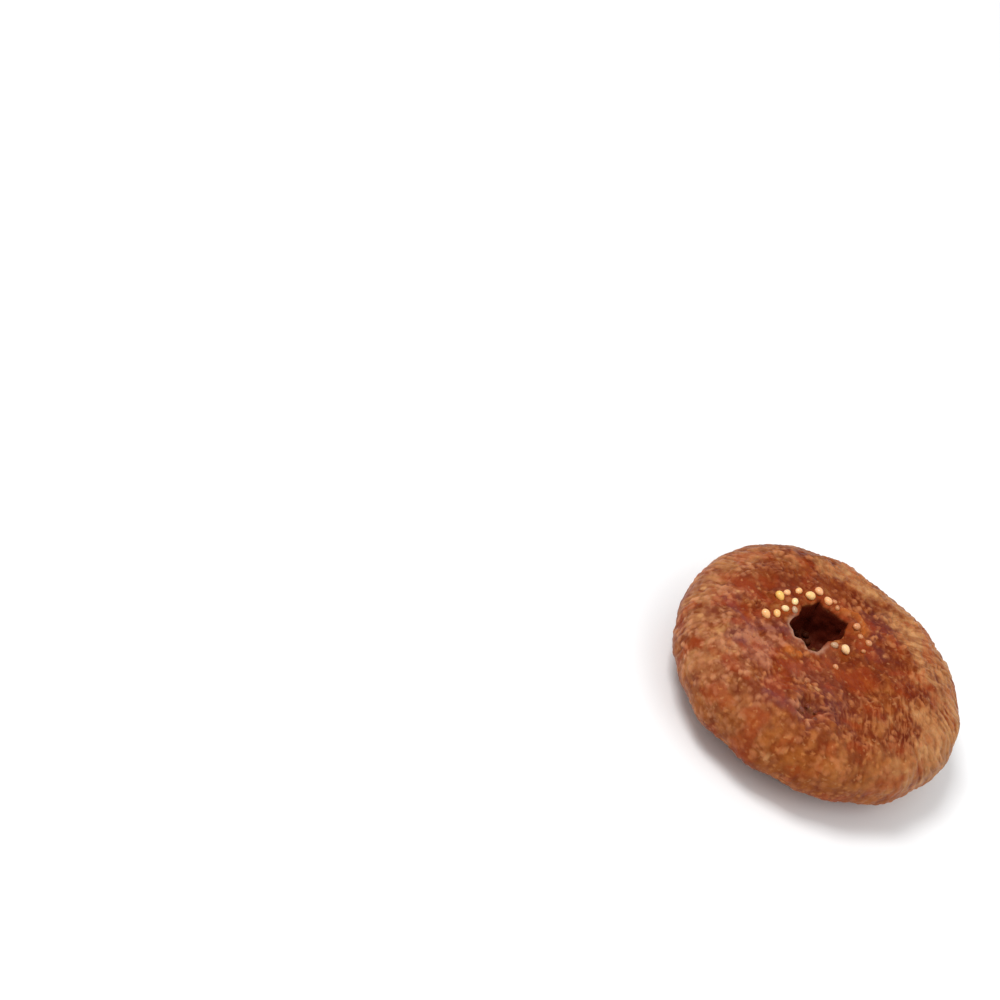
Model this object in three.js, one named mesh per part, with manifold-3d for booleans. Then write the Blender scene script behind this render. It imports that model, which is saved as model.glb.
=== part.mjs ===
// A dried fig, pressed flat from eye to stalk. Millimetres, +Z up, the origin on the resting surface
// under the middle of the fig. +X runs along the longest diameter. The face that looks up carries a
// torn hole ringed with seeds and, nearer the -Y side, the puckered eye. The stalk's stub lies in a
// dimple of the underside.

import * as THREE from 'three';
import { ImprovedNoise } from 'three/addons/math/ImprovedNoise.js';
import { mergeVertices } from 'three/addons/utils/BufferGeometryUtils.js';
import Module from 'manifold-3d';

// ---- Driving dimensions ----

const LENGTH = 52.2; // longest diameter, along X
const WIDTH = 49.2; // along Y
const CROWN_HEIGHT = 8.6; // from the widest level up to where the undished crown would be
const BELLY_DEPTH = 8.9; // from the widest level down to the underside before it is pressed flat
const PRESSED_FLAT = 0.5; // how much of the belly the resting spot takes away
const SQUARENESS = 2.5; // superellipse exponent of the puffy cross-section

const MIDDLE = { x: - 0.57, y: 0.46 }; // shifts the fig so that the origin is under its middle

// Slow bulges of the rim: waves round the fig, height, bearing of a crest in degrees.
const RIM_BULGES = [
	{ waves: 2, height: 0.45, crest: 45 },
	{ waves: 3, height: 0.63, crest: 9 },
	{ waves: 4, height: 0.25, crest: 42 },
	{ waves: 5, height: 0.12, crest: 33 }
];
const RIM_SAG = { waves: 2, height: 0.45, crest: 70 }; // the widest level rises and dips with this

// The upper face sinks in the middle.
const FACE_DISH = { x: - 2.8, y: - 0.7, depth: 3.3, radius: 13.5 };

// The puckered eye: a dent in a low ring, with small scales leaning over it.
const EYE = { x: 1.3, y: - 16.6, dent: 1.3, dentRadius: 2.2, ring: 0.6, ringRadius: 3.9, ringWidth: 1.5 };
const EYE_SCALES = { count: 6, length: 2.5, width: 1.5, thickness: 0.9, out: 1.9, tilt: 22 };

// The torn hole: its middle, and its tips and notches as bearing in degrees and radius.
const HOLE = { x: - 4.4, y: 3, depth: 6.4, lip: 0.4, lipWidth: 1.6 };
const HOLE_EDGE = [
	[ 10, 4.6 ], [ 36, 5.5 ], [ 46, 6.4 ], [ 57, 5.6 ], [ 75, 4.9 ], [ 96, 4.7 ], [ 110, 5.5 ],
	[ 128, 4.4 ], [ 155, 4.3 ], [ 167, 3.8 ], [ 185, 3.8 ], [ 202, 4.4 ], [ 217, 5.1 ], [ 230, 4.7 ],
	[ 243, 5.2 ], [ 253, 4.4 ], [ 264, 4.5 ], [ 276, 5.4 ], [ 294, 5.3 ], [ 315, 3.8 ], [ 332, 3.4 ],
	[ 357, 3.8 ]
];
const HOLE_WALL = [ // depth as a share of the whole, size as a share of the lip's
	{ down: 0.15, size: 0.97, columns: 80 },
	{ down: 0.45, size: 0.93, columns: 40 },
	{ down: 0.8, size: 0.8, columns: 40 },
	{ down: 0.98, size: 0.42, columns: 40 }
];

// The stalk's stub, in its dimple in the underside.
const STALK = {
	x: - 3, y: 12.5, dimple: 3.8, dimpleRadius: 4.8, // where the folds of the underside meet
	length: 5.2, radius: 1.6, taper: 0.85, squash: 0.85, waist: 0.12, ridge: 0.08, sides: 12, rings: 4,
	bearing: 62, droop: 13, root: 0.5 // how it lies, and how far its root sits below the dimple's roof
};

// The skin's relief: folds that run from face to underside, lumps and finer wrinkles.
const FOLDS = {
	height: 0.34, steady: 0.75, varied: 0.8, patch: 6, // their height varies from patch to patch
	from: 0.1, full: 0.75, // shares of the way to the rim, where they begin and where they are whole
	wander: 0.35 // how far a fold strays from even spacing, in columns
};
const LUMPS = { height: 0.55, size: 5 };
const WRINKLES = { height: 0.3, size: 2.1 };
const SMOOTHED_UNDER = 1.5; // the relief fades out below this height, towards the resting surface

// Seeds round the hole: bearing in degrees and distance from its middle, and length.
const SEED = { width: 0.9, thickness: 0.85, proud: 0.16, sides: 7, rings: 5 }; // as shares of the length
const SEEDS = [
	[ 179, 8, 1.8 ], [ 166, 7.4, 1.3 ], [ 144, 6.9, 1.4 ], [ 131, 5.5, 1.8 ], [ 114, 6.5, 1.7 ],
	[ 168, 5.4, 1.4 ], [ 194, 6.3, 1.4 ], [ 212, 10, 1.8 ], [ 208, 7.8, 1.6 ], [ 96, 5.5, 1.7 ],
	[ 86, 6.3, 1.1 ], [ 185, 4.7, 1.3 ], [ 76, 5.5, 1.1 ], [ 37, 7, 1.4 ], [ 24, 7.8, 1.2 ],
	[ 18, 9.3, 1.3 ], [ 334, 4.5, 1.4 ], [ 347, 6.1, 1.8 ], [ 5, 8.8, 1 ], [ 315, 8.5, 1.2 ]
];

// The mesh: columns run from the hole over the rim to the stalk, two for each fold.
const COLUMNS = 160;
const INNER_COLUMNS = 80; // near the hole and near the stalk
const INNER_SHARE = 0.42; // of the way from hole or stalk to rim
const FACE_RINGS = { inner: 5, outer: 9 };
const BELLY_RINGS = { inner: 5, outer: 8 };

const SKIN_COLOUR = 0x8f4a2a;

// ---- Small helpers ----

const noise = new ImprovedNoise();
const radians = THREE.MathUtils.degToRad;
const smoothstep = THREE.MathUtils.smoothstep;
const lerp = THREE.MathUtils.lerp;
const WIDEST_LEVEL = BELLY_DEPTH - PRESSED_FLAT;

function wave( swell, bearing ) {

	return swell.height * Math.cos( swell.waves * ( bearing - radians( swell.crest ) ) );

}

function bell( distance, radius ) {

	return Math.exp( - ( ( distance / radius ) ** 2 ) );

}

// ---- The main form ----

// How far the rim bulges at a bearing, as a factor on its ellipse.
function rimFactor( bearing ) {

	const bulge = RIM_BULGES.reduce( ( sum, swell ) => sum + wave( swell, bearing ), 0 );
	return 1 + bulge / ( LENGTH / 2 );

}

function rimPoint( bearing ) {

	const factor = rimFactor( bearing );
	return new THREE.Vector2(
		factor * LENGTH / 2 * Math.cos( bearing ),
		factor * WIDTH / 2 * Math.sin( bearing )
	);

}

// Where a point in plan lies: its bearing, and its share of the way from the middle to the rim.
function planPlace( x, y ) {

	const bearing = Math.atan2( y / WIDTH, x / LENGTH );
	const share = Math.hypot( 2 * x / LENGTH, 2 * y / WIDTH ) / rimFactor( bearing );
	return { bearing, share: Math.min( share, 1 ) };

}

// The height of the superellipse cross-section over the widest level, as a share of its full height.
function puff( share ) {

	return ( 1 - share ** SQUARENESS ) ** ( 1 / SQUARENESS );

}

function widestLevel( place ) {

	return WIDEST_LEVEL + wave( RIM_SAG, place.bearing ) * place.share ** 2;

}

function faceHeight( x, y ) {

	const place = planPlace( x, y );
	const dish = FACE_DISH.depth * bell( Math.hypot( x - FACE_DISH.x, y - FACE_DISH.y ), FACE_DISH.radius );
	const fromEye = Math.hypot( x - EYE.x, y - EYE.y );
	const eyeRing = EYE.ring * bell( fromEye - EYE.ringRadius, EYE.ringWidth );
	const eyeDent = EYE.dent * bell( fromEye, EYE.dentRadius );
	const fromHole = Math.hypot( x - HOLE.x, y - HOLE.y );
	const lip = HOLE.lip * bell( fromHole - lipRadius( x, y ) - HOLE.lipWidth / 2, HOLE.lipWidth );
	const crown = CROWN_HEIGHT * puff( place.share );
	return widestLevel( place ) + crown - dish + eyeRing - eyeDent + lip;

}

function bellyHeight( x, y ) {

	const place = planPlace( x, y );
	const dimple = STALK.dimple * bell( Math.hypot( x - STALK.x, y - STALK.y ), STALK.dimpleRadius );
	return widestLevel( place ) - BELLY_DEPTH * puff( place.share ) + dimple;

}

// The torn edge's radius towards a point, straight from each tip to the next notch.
function lipRadius( x, y ) {

	const bearing = ( THREE.MathUtils.radToDeg( Math.atan2( y - HOLE.y, x - HOLE.x ) ) + 360 ) % 360;
	const last = HOLE_EDGE.length - 1;
	const next = HOLE_EDGE.findIndex( ( corner ) => corner[ 0 ] > bearing );
	const from = next <= 0 ? HOLE_EDGE[ last ] : HOLE_EDGE[ next - 1 ];
	const to = next === - 1 ? HOLE_EDGE[ 0 ] : HOLE_EDGE[ next ];
	const span = ( to[ 0 ] - from[ 0 ] + 360 ) % 360;
	const along = ( bearing - from[ 0 ] + 360 ) % 360 / span;
	return lerp( from[ 1 ], to[ 1 ], along );

}

// ---- The skin, with its relief ----

// A column of the skin by its bearing on the rim. The folds take turns as crests and valleys.
function column( index ) {

	const even = 2 * Math.PI * index / COLUMNS;
	const stray = FOLDS.wander * noise.noise( 3 * Math.cos( even ) + 9, 3 * Math.sin( even ), index * 0.7 );
	return { index, rim: rimPoint( even + 2 * Math.PI * stray / COLUMNS ) };

}

// The plan position on a column: share 0 is the torn edge or the stalk, and 1 is the rim.
function facePlan( col, share ) {

	const out = new THREE.Vector2( col.rim.x - HOLE.x, col.rim.y - HOLE.y );
	const start = lipRadius( col.rim.x, col.rim.y ) / out.length();
	return out.multiplyScalar( lerp( start, 1, share ) ).add( new THREE.Vector2( HOLE.x, HOLE.y ) );

}

function bellyPlan( col, share ) {

	return new THREE.Vector2( STALK.x, STALK.y ).lerp( col.rim, share );

}

function mainForm( col, side, share ) {

	const plan = side === 'face' ? facePlan( col, share ) : bellyPlan( col, share );
	const height = side === 'face' ? faceHeight : bellyHeight;
	return new THREE.Vector3( plan.x, plan.y, height( plan.x, plan.y ) );

}

// The outward direction of the main form near a point, from the gradient of its height in plan.
function outward( point, side ) {

	const step = 0.05;
	const steepest = 0.985; // share of the way to the rim past which the slope no longer grows
	const inset = Math.min( 1, steepest / Math.max( planPlace( point.x, point.y ).share, 1e-6 ) );
	const x = point.x * inset;
	const y = point.y * inset;
	const height = side === 'face' ? faceHeight : bellyHeight;
	const slopeX = ( height( x + step, y ) - height( x - step, y ) ) / ( 2 * step );
	const slopeY = ( height( x, y + step ) - height( x, y - step ) ) / ( 2 * step );
	const up = side === 'face' ? 1 : - 1;
	return new THREE.Vector3( - slopeX * up, - slopeY * up, up ).normalize();

}

function relief( point, crest, share ) {

	const fold = FOLDS.height * crest * smoothstep( share, FOLDS.from, FOLDS.full );
	const patch = point.clone().divideScalar( FOLDS.patch );
	const strength = FOLDS.steady + FOLDS.varied * noise.noise( patch.x, patch.y, patch.z );
	const large = point.clone().divideScalar( LUMPS.size );
	const small = point.clone().divideScalar( WRINKLES.size );
	const lumps = LUMPS.height * noise.noise( large.x, large.y, large.z + 5 );
	const wrinkles = WRINKLES.height * noise.noise( small.x, small.y + 7, small.z );
	return fold * strength + lumps + wrinkles;

}

function skinPoint( col, side, share, columns ) {

	const point = mainForm( col, side, share );
	const crest = col.index / ( COLUMNS / columns ) % 2 === 0 ? 1 : - 1;
	const pressed = side === 'face' ? 1 : smoothstep( point.z, 0, SMOOTHED_UNDER );
	const atRim = share === 1;
	const direction = atRim ? new THREE.Vector3( col.rim.x, col.rim.y, 0 ).normalize() : outward( point, side );
	point.addScaledVector( direction, pressed * relief( point, crest, share ) );
	point.z = Math.max( point.z, 0 );
	return point;

}

// ---- The closed mesh ----

const vertices = [];
const triangles = [];
const allColumns = Array.from( { length: COLUMNS }, ( _, index ) => column( index ) );

function addVertex( point ) {

	vertices.push( point.x, point.y, point.z );
	return vertices.length / 3 - 1;

}

function addRing( columns, place ) {

	const every = COLUMNS / columns;
	return allColumns.filter( ( col ) => col.index % every === 0 ).map( ( col ) => addVertex( place( col ) ) );

}

// Joins two rings. The second may have as many vertices as the first, twice as many or half as many.
function joinRings( upper, lower ) {

	const count = Math.min( upper.length, lower.length );
	for ( let i = 0; i < count; i ++ ) {

		const next = ( i + 1 ) % count;
		if ( upper.length === lower.length ) {

			triangles.push( upper[ i ], lower[ i ], lower[ next ], upper[ i ], lower[ next ], upper[ next ] );

		} else if ( lower.length > upper.length ) {

			const after = lower[ ( 2 * i + 2 ) % lower.length ];
			triangles.push( upper[ i ], lower[ 2 * i ], lower[ 2 * i + 1 ] );
			triangles.push( upper[ i ], lower[ 2 * i + 1 ], upper[ next ] );
			triangles.push( upper[ next ], lower[ 2 * i + 1 ], after );

		} else {

			const after = upper[ ( 2 * i + 2 ) % upper.length ];
			triangles.push( upper[ 2 * i ], lower[ i ], upper[ 2 * i + 1 ] );
			triangles.push( upper[ 2 * i + 1 ], lower[ i ], lower[ next ] );
			triangles.push( upper[ 2 * i + 1 ], lower[ next ], after );

		}

	}

}

function closeRing( ring, point, facingUp ) {

	const middle = addVertex( point );
	for ( let i = 0; i < ring.length; i ++ ) {

		const next = ( i + 1 ) % ring.length;
		const [ a, b ] = facingUp ? [ i, next ] : [ next, i ];
		triangles.push( middle, ring[ a ], ring[ b ] );

	}

}

// Even steps near the hole or the stalk, then even turns of the cross-section out to the rim.
function ringShares( rings ) {

	const turn = Math.asin( INNER_SHARE ** ( SQUARENESS / 2 ) );
	const shares = [];
	for ( let i = 0; i < rings.inner; i ++ ) {

		shares.push( { share: INNER_SHARE * i / rings.inner, columns: INNER_COLUMNS } );

	}

	for ( let i = 0; i < rings.outer; i ++ ) {

		const angle = lerp( turn, Math.PI / 2, i / rings.outer );
		shares.push( { share: Math.sin( angle ) ** ( 2 / SQUARENESS ), columns: COLUMNS } );

	}

	return shares;

}

function holeRings() {

	const floor = faceHeight( HOLE.x, HOLE.y ) - HOLE.depth;
	const walls = HOLE_WALL.map( ( wall ) => addRing( wall.columns, ( col ) => {

		const lip = skinPoint( col, 'face', 0, INNER_COLUMNS );
		const x = lerp( HOLE.x, lip.x, wall.size );
		const y = lerp( HOLE.y, lip.y, wall.size );
		const rough = WRINKLES.height * noise.noise( x, y, wall.down * 9 );
		return new THREE.Vector3( x, y, lerp( lip.z, floor, wall.down ) + rough );

	} ) );
	closeRing( walls.at( - 1 ), new THREE.Vector3( HOLE.x, HOLE.y, floor ), true );
	return walls.reverse();

}

function skinMesh() {

	const rings = holeRings();
	for ( const { share, columns } of ringShares( FACE_RINGS ) ) {

		rings.push( addRing( columns, ( col ) => skinPoint( col, 'face', share, columns ) ) );

	}

	rings.push( addRing( COLUMNS, ( col ) => skinPoint( col, 'face', 1, COLUMNS ) ) );
	for ( const { share, columns } of ringShares( BELLY_RINGS ).slice( 1 ).reverse() ) {

		rings.push( addRing( columns, ( col ) => skinPoint( col, 'belly', share, columns ) ) );

	}

	for ( let i = 1; i < rings.length; i ++ ) joinRings( rings[ i - 1 ], rings[ i ] );
	closeRing( rings.at( - 1 ), mainForm( allColumns[ 0 ], 'belly', 0 ), false );
	const geometry = new THREE.BufferGeometry();
	geometry.setAttribute( 'position', new THREE.Float32BufferAttribute( vertices, 3 ) );
	geometry.setIndex( triangles );
	return geometry;

}

// ---- What grows on it ----

const wasm = await Module();
wasm.setup();

function solid( geometry ) {

	const bare = geometry.clone();
	bare.deleteAttribute( 'normal' );
	bare.deleteAttribute( 'uv' );
	const merged = mergeVertices( bare, 1e-4 );
	return new wasm.Manifold( new wasm.Mesh( {
		numProp: 3,
		vertProperties: Float32Array.from( merged.attributes.position.array ),
		triVerts: Uint32Array.from( merged.index.array )
	} ) );

}

function geometryOf( manifold ) {

	const mesh = manifold.getMesh();
	const geometry = new THREE.BufferGeometry();
	const positions = Float32Array.from( mesh.vertProperties );
	geometry.setAttribute( 'position', new THREE.BufferAttribute( positions, 3 ) );
	geometry.setIndex( new THREE.BufferAttribute( Uint32Array.from( mesh.triVerts ), 1 ) );
	geometry.computeVertexNormals();
	return geometry;

}

function seedAt( [ bearing, distance, length ], index ) {

	const x = HOLE.x + distance * Math.cos( radians( bearing ) );
	const y = HOLE.y + distance * Math.sin( radians( bearing ) );
	const seed = new THREE.SphereGeometry( length / 2, SEED.sides, SEED.rings );
	seed.rotateX( Math.PI / 2 );
	seed.scale( 1, SEED.width, SEED.thickness );
	seed.rotateZ( index );
	seed.translate( x, y, faceHeight( x, y ) + SEED.proud * length );
	return solid( seed );

}

function eyeScale( index ) {

	const bearing = 2 * Math.PI * index / EYE_SCALES.count;
	const x = EYE.x + EYE_SCALES.out * Math.cos( bearing );
	const y = EYE.y + EYE_SCALES.out * Math.sin( bearing );
	const scale = new THREE.SphereGeometry( 0.5, SEED.sides, SEED.rings );
	scale.scale( EYE_SCALES.length, EYE_SCALES.width, EYE_SCALES.thickness );
	scale.rotateY( radians( EYE_SCALES.tilt ) );
	scale.rotateZ( bearing );
	scale.translate( x, y, faceHeight( x, y ) );
	return solid( scale );

}

// The stub lies in its dimple, bent over and squashed, with a cut end and a few ridges.
function stalkStub() {

	const end = STALK.radius * STALK.taper;
	const stub = new THREE.CylinderGeometry( end, STALK.radius, STALK.length, STALK.sides, STALK.rings );
	stub.translate( 0, STALK.length / 2, 0 );
	const position = stub.attributes.position;
	for ( let i = 0; i < position.count; i ++ ) {

		const bearing = Math.atan2( position.getZ( i ), position.getX( i ) );
		const ridge = 1 + STALK.ridge * Math.cos( STALK.sides / 2 * bearing );
		const waist = 1 - STALK.waist * Math.sin( Math.PI * position.getY( i ) / STALK.length );
		position.setX( i, position.getX( i ) * ridge * waist );
		position.setZ( i, position.getZ( i ) * ridge * waist * STALK.squash );

	}

	stub.rotateX( - radians( STALK.droop ) );
	stub.rotateZ( radians( STALK.bearing - 90 ) );
	stub.translate( STALK.x, STALK.y, bellyHeight( STALK.x, STALK.y ) - STALK.root );
	return solid( stub );

}

function driedFig() {

	const pieces = SEEDS.map( seedAt );
	for ( let i = 0; i < EYE_SCALES.count; i ++ ) pieces.push( eyeScale( i ) );
	pieces.push( stalkStub() );
	const whole = pieces.reduce( ( sum, piece ) => sum.add( piece ), solid( skinMesh() ) );
	const material = new THREE.MeshStandardMaterial( { color: SKIN_COLOUR, roughness: 0.45, metalness: 0 } );
	const fig = new THREE.Mesh( geometryOf( whole ), material );
	fig.name = 'dried_fig';
	fig.position.set( MIDDLE.x, MIDDLE.y, 0 );
	return fig;

}

const group = new THREE.Group();
group.add( driedFig() );

export default group;
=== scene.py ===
"""A dried fig, pressed flat, dressed over its CAD solid: the folded skin with its torn hole, the seeds
stuck round it, the pulp inside, the puckered eye and the stub of the stalk."""

import math

import bpy
import numpy as np
from mathutils import Matrix, Vector, noise


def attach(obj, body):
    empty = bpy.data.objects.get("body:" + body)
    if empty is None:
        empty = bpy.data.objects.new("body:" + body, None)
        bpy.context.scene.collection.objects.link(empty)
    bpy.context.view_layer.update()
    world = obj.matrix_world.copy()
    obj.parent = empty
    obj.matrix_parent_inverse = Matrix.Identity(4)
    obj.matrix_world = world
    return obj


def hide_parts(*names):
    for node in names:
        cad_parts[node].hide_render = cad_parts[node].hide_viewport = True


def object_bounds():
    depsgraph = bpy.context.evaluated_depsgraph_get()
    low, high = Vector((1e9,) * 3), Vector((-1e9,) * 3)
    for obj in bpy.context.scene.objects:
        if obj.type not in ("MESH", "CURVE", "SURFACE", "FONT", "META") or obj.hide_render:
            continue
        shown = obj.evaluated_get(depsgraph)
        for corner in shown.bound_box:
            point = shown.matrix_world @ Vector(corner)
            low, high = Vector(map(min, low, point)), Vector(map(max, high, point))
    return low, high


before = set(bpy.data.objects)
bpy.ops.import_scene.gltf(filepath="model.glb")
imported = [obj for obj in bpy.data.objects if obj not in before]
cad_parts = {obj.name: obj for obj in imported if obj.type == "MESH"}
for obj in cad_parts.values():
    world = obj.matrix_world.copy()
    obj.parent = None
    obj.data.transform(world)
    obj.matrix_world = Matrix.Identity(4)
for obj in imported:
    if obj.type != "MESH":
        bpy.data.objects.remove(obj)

CAD_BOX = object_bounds()
MM = 0.001
PER_METRE = 1000.0  # millimetres

# ---- The fig's driving dimensions, in millimetres, as in the part's source ----

LENGTH = 52.2
WIDTH = 49.2
CROWN_HEIGHT = 8.6
BELLY_DEPTH = 8.9
PRESSED_FLAT = 0.5
SQUARENESS = 2.5
MIDDLE = (-0.57, 0.46)  # the form's middle, seen from the origin
RIM_BULGES = (  # waves round the rim, height, a crest's bearing
    (2, 0.45, 45), (3, 0.63, 9), (4, 0.25, 42), (5, 0.12, 33),
)
RIM_SAG = (2, 0.45, 70)
FACE_DISH = {"x": -2.8, "y": -0.7, "depth": 3.3, "radius": 13.5}
EYE = {
    "x": 1.3, "y": -16.6, "dent": 1.3, "dent_radius": 2.2,
    "ring": 0.6, "ring_radius": 3.9, "ring_width": 1.5,
}
HOLE = {"x": -4.4, "y": 3, "depth": 6.4, "lip": 0.4, "lip_width": 1.6}
HOLE_EDGE = (  # bearing in degrees and radius of each tip and notch
    (10, 4.6), (36, 5.5), (46, 6.4), (57, 5.6), (75, 4.9), (96, 4.7), (110, 5.5), (128, 4.4),
    (155, 4.3), (167, 3.8), (185, 3.8), (202, 4.4), (217, 5.1), (230, 4.7), (243, 5.2), (253, 4.4),
    (264, 4.5), (276, 5.4), (294, 5.3), (315, 3.8), (332, 3.4), (357, 3.8),
)
EYE_SCALES = {
    "count": 6, "length": 1.9, "width": 0.9, "thickness": 0.45, "out": 1.8, "tilt": 16, "sunk": 0.1,
}
EYE_RIDGES = (  # the pale puckers that run into it
    ((-2.6, -17.2), (-0.6, -17.9), (1.3, -17.9)), ((1.6, -17.7), (3, -16), (3.8, -13.4)),
    ((-1.9, -14.8), (-1.3, -16.7), (0, -17.7)), ((1.8, -18), (2.9, -18.5), (3.8, -18.4)),
)
STALK = {
    "x": -3, "y": 12.5, "dimple": 3.8, "dimple_radius": 4.8, "length": 5.2, "radius": 1.6,
    "squash": 0.85, "waist": 0.12, "ridge": 0.08, "ridges": 6, "bearing": 62, "droop": 13, "root": 0.5,
}
SEEDS = (  # bearing and distance from the hole's middle, length, and tint from grey and orange to cream
    (179, 8, 1.65, 0.7), (166, 7.4, 1.2, 0.5), (144, 6.9, 1.25, 0.55), (131, 5.5, 1.65, 0.77),
    (114, 6.5, 1.5, 0.45), (168, 5.4, 1.3, 0.95), (194, 6.3, 1.3, 0.9), (212, 10, 1.65, 0.55),
    (208, 7.8, 1.4, 0.6), (96, 5.5, 1.5, 0.48), (86, 6.3, 0.9, 0.2), (185, 4.7, 1.2, 0),
    (76, 5.5, 0.9, 0.2), (37, 7, 1.3, 0.3), (24, 7.8, 1, 0.2), (18, 9.3, 1.2, 0.25),
    (334, 4.5, 1.3, 0.03), (347, 6.1, 1.6, 0.82), (5, 8.8, 0.8, 0.15), (315, 8.5, 1, 0.25),
)

# ---- The skin's own detail, in millimetres ----

FOLDS = 92  # from face to underside, round the rim
FINE_FOLDS = 148
FOLD_HEIGHT = 0.55  # a full fold at the rim, valley to crest
FOLD_ROUNDNESS = 0.75  # under 1, the valleys are sharper than the crests
FOLD_LEVEL = 0.65  # the skin's own level on a fold, between its valley at 0 and its crest at 1
STRONG_FOLDS = {"bearing": 38, "spread": 52}  # where the folds stand out most
LUMPS = {"size": 5.0, "height": 0.6}
NUBS = {"size": 1.0, "height": 0.34}
RIDGED_SIDE = {"bearing": 348, "spread": 48}
RIDGES_RUN = 295  # the direction of that side's ridges and streaks
STREAK_STRETCH = (3.6, 1, 2)  # how far streaks are drawn out along their run, across it and in height
NET_HEIGHT = 0.3
CALM_BAND = ((-18.1, 2.8), (-14.2, 7.5), (-10.4, 9.7), (-6.5, 10.9))  # smoother and redder
CALM_WIDTH = 3
EYE_CALM = 4.2  # the nubs fade this near the eye
EYE_RIDGE_SIZE = {"height": 0.5, "width": 0.38}
EYE_SWELL = {"height": 0.5, "radius": 1.8}
VEINS = (  # thin purple lines, the first from the shoulder to the hole
    ((-20.1, -3.5), (-17, -5.5), (-13.7, -7.1), (-11.4, -4.3), (-8.3, -1.7)),
    ((-15.3, -11.2), (-13.8, -10.5)),
    ((-6.8, -17.6), (-5, -17.1), (-3.1, -17.9), (-1.4, -18.2)),
)
VEIN_WIDTH = 0.62
FLAP = ((-2.2, 8.9), (0.5, 10.5), (2.3, 9.4), (3.1, 7.5))  # a translucent fold beside the hole
FLAP_SIZE = {"height": 0.5, "width": 0.45, "orange": 0.8}
BLISTERS = ((-6.5, -5.5, 1.3), (-4.7, -5, 1))  # where orange flesh swells the skin: place and radius
BLISTER_HEIGHT = 0.45
# pale dots: mostly painted glints, on the shoulder and below, with a pale speck by the eye
GLINT_AND_PALE_DOTS = ((-23.8, -2.6), (-21.9, -9.1), (-18.8, -0.8), (-21.8, -4.2), (0.6, -10.4), (-0.5, -24.8))
PALE_DOT_RADIUS = 0.5
PALE_LIP = {"bearing": 255, "out": 0.3, "width": 0.5}  # where the torn edge shows its thickness
COLLAR_HEIGHT = 0.3  # the flesh drawn up round each seed
COLLAR_RING = {"share": 0.6, "width": 0.4}
SEEDBED_RING = {"share": 0.45, "width": 0.5}  # the darker flesh that each seed sits in
SEED_SHAPE = (1.12, 1.02, 0.95)  # its real length, width and thickness, over the length given
SEED_PROUD = 0.16  # how far over the skin its middle is, as a share of its length
PULP = {"count": 22, "size": 1.3, "spread": 3.6}
GOLDEN_TURN = 2.4  # in radians, so that no two grains of pulp line up
UNDERSIDE_PRESSED = 1.5  # the underside's relief dies out over this height, down to the flat spot
TAN_RIM = (  # how tan the rim is, by bearing
    (5, 0.95), (60, 1), (100, 0.85), (115, 0.72), (132, 0.46), (155, 0.36), (185, 0.5), (203, 0.62),
    (220, 0.66), (235, 0.55), (248, 0.35), (264, 0.12), (280, 0.08), (310, 0.2), (328, 0.6), (340, 0.88),
)
SHADOW_PAINTED_EDGE = {"bearing": 215, "spread": 45}  # where the rim's tan stops at the edge of the wall, a painted shadow on the left
SHOULDER_SIDE = {"bearing": 200, "spread": 58}  # where pale beads, partly painted highlights, crowd the rim
STREAKED_SIDE = {"bearing": 345, "spread": 60}
TAN_BEGINS = 0.72  # as a share of the way from the hole to the rim
TAN_REACH = {"far": (0.27, 70, 70), "left": (0.13, 215, 38)}  # how much sooner, bearing, spread
MAUVE = {"x": -9.5, "y": -7.5, "radius": 12}  # the inner left of the face, greyer and pinker
WARM_NEAR = (300, 75)  # bearing and spread of the orange-brown side
PURPLE_MARKS = (  # place and radius, as for all the marks
    (-18.9, -3.9, 2.4), (-15.1, -9.7, 2.2), (-5.4, -16.6, 2.4), (4.3, -12.5, 4.2), (4.4, 11.7, 3.8),
    (5.3, 5.2, 3), (0.6, -16, 3.4),
)
RED_MARKS = (
    (-4.6, -16.7, 3), (-8, -17.6, 2.6), (-1.5, -7.4, 2.8), (6, -16.8, 4.4), (10.3, -16.7, 2.8),
    (15.3, -10.7, 2.6),
)
PINK_MARKS = ((-11.8, -9, 3.8), (-9.8, -5, 2.4))
WARM_MARKS = ((9.7, -2.6, 4.2), (15.5, -1.5, 4))
RAGGED = {  # how ragged the edges of each kind of mark are
    "red": 1.2, "purple": 1.2, "pink": 1.6, "warm": 1.0, "orange": 0.3, "dots": 0.3,
}

# The ball that the skin is pressed from: its rings run from the floor of the hole to the stalk.
COLUMNS = 240
RINGS = 216
LIP_RING = 30
RIM_RING = 142
DENSE_RINGS = (58, 192)  # twice as many columns between these
HOLE_WALL = (  # share of the way out from the middle of the floor, size as a share of the lip's, depth
    (0, 0, 1), (0.2, 0.42, 0.985), (0.38, 0.8, 0.85), (0.6, 0.93, 0.45), (0.85, 0.97, 0.13), (1, 1, 0),
)

# The camera and the lights, placed from the fig.
CAMERA = {"elevation": 42, "roll": 35, "distance": 0.6, "frame_width": 0.16667}
SEEN_AT = (817.2, 676.3)  # where the fig's middle shows, in a frame of 1000 by 1000
FRAME = 1000
LIGHTS = {  # the way to each, to the camera's right, up and back; then distance, size and power
    "KeyLight": ((-0.05, 0.78, 0.7), 0.6, 0.2, 2.2),
    "FillLight": ((0.8, 0.1, 0.8), 0.7, 0.5, 0.8),
}
ROOM_LIGHT = 0.7


# ---- The main form ----

def wave(swell, bearing):
    waves, height, crest = swell
    return height * np.cos(waves * (bearing - math.radians(crest)))


def bell(distance, radius):
    return np.exp(-((distance / radius) ** 2))


def smooth(value, low, high):
    t = np.clip((value - low) / (high - low), 0, 1)
    return t * t * (3 - 2 * t)


def rim_factor(bearing):
    return 1 + sum(wave(swell, bearing) for swell in RIM_BULGES) / (LENGTH / 2)


def rim_point(bearing):
    factor = rim_factor(bearing)
    return factor * LENGTH / 2 * np.cos(bearing), factor * WIDTH / 2 * np.sin(bearing)


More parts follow.
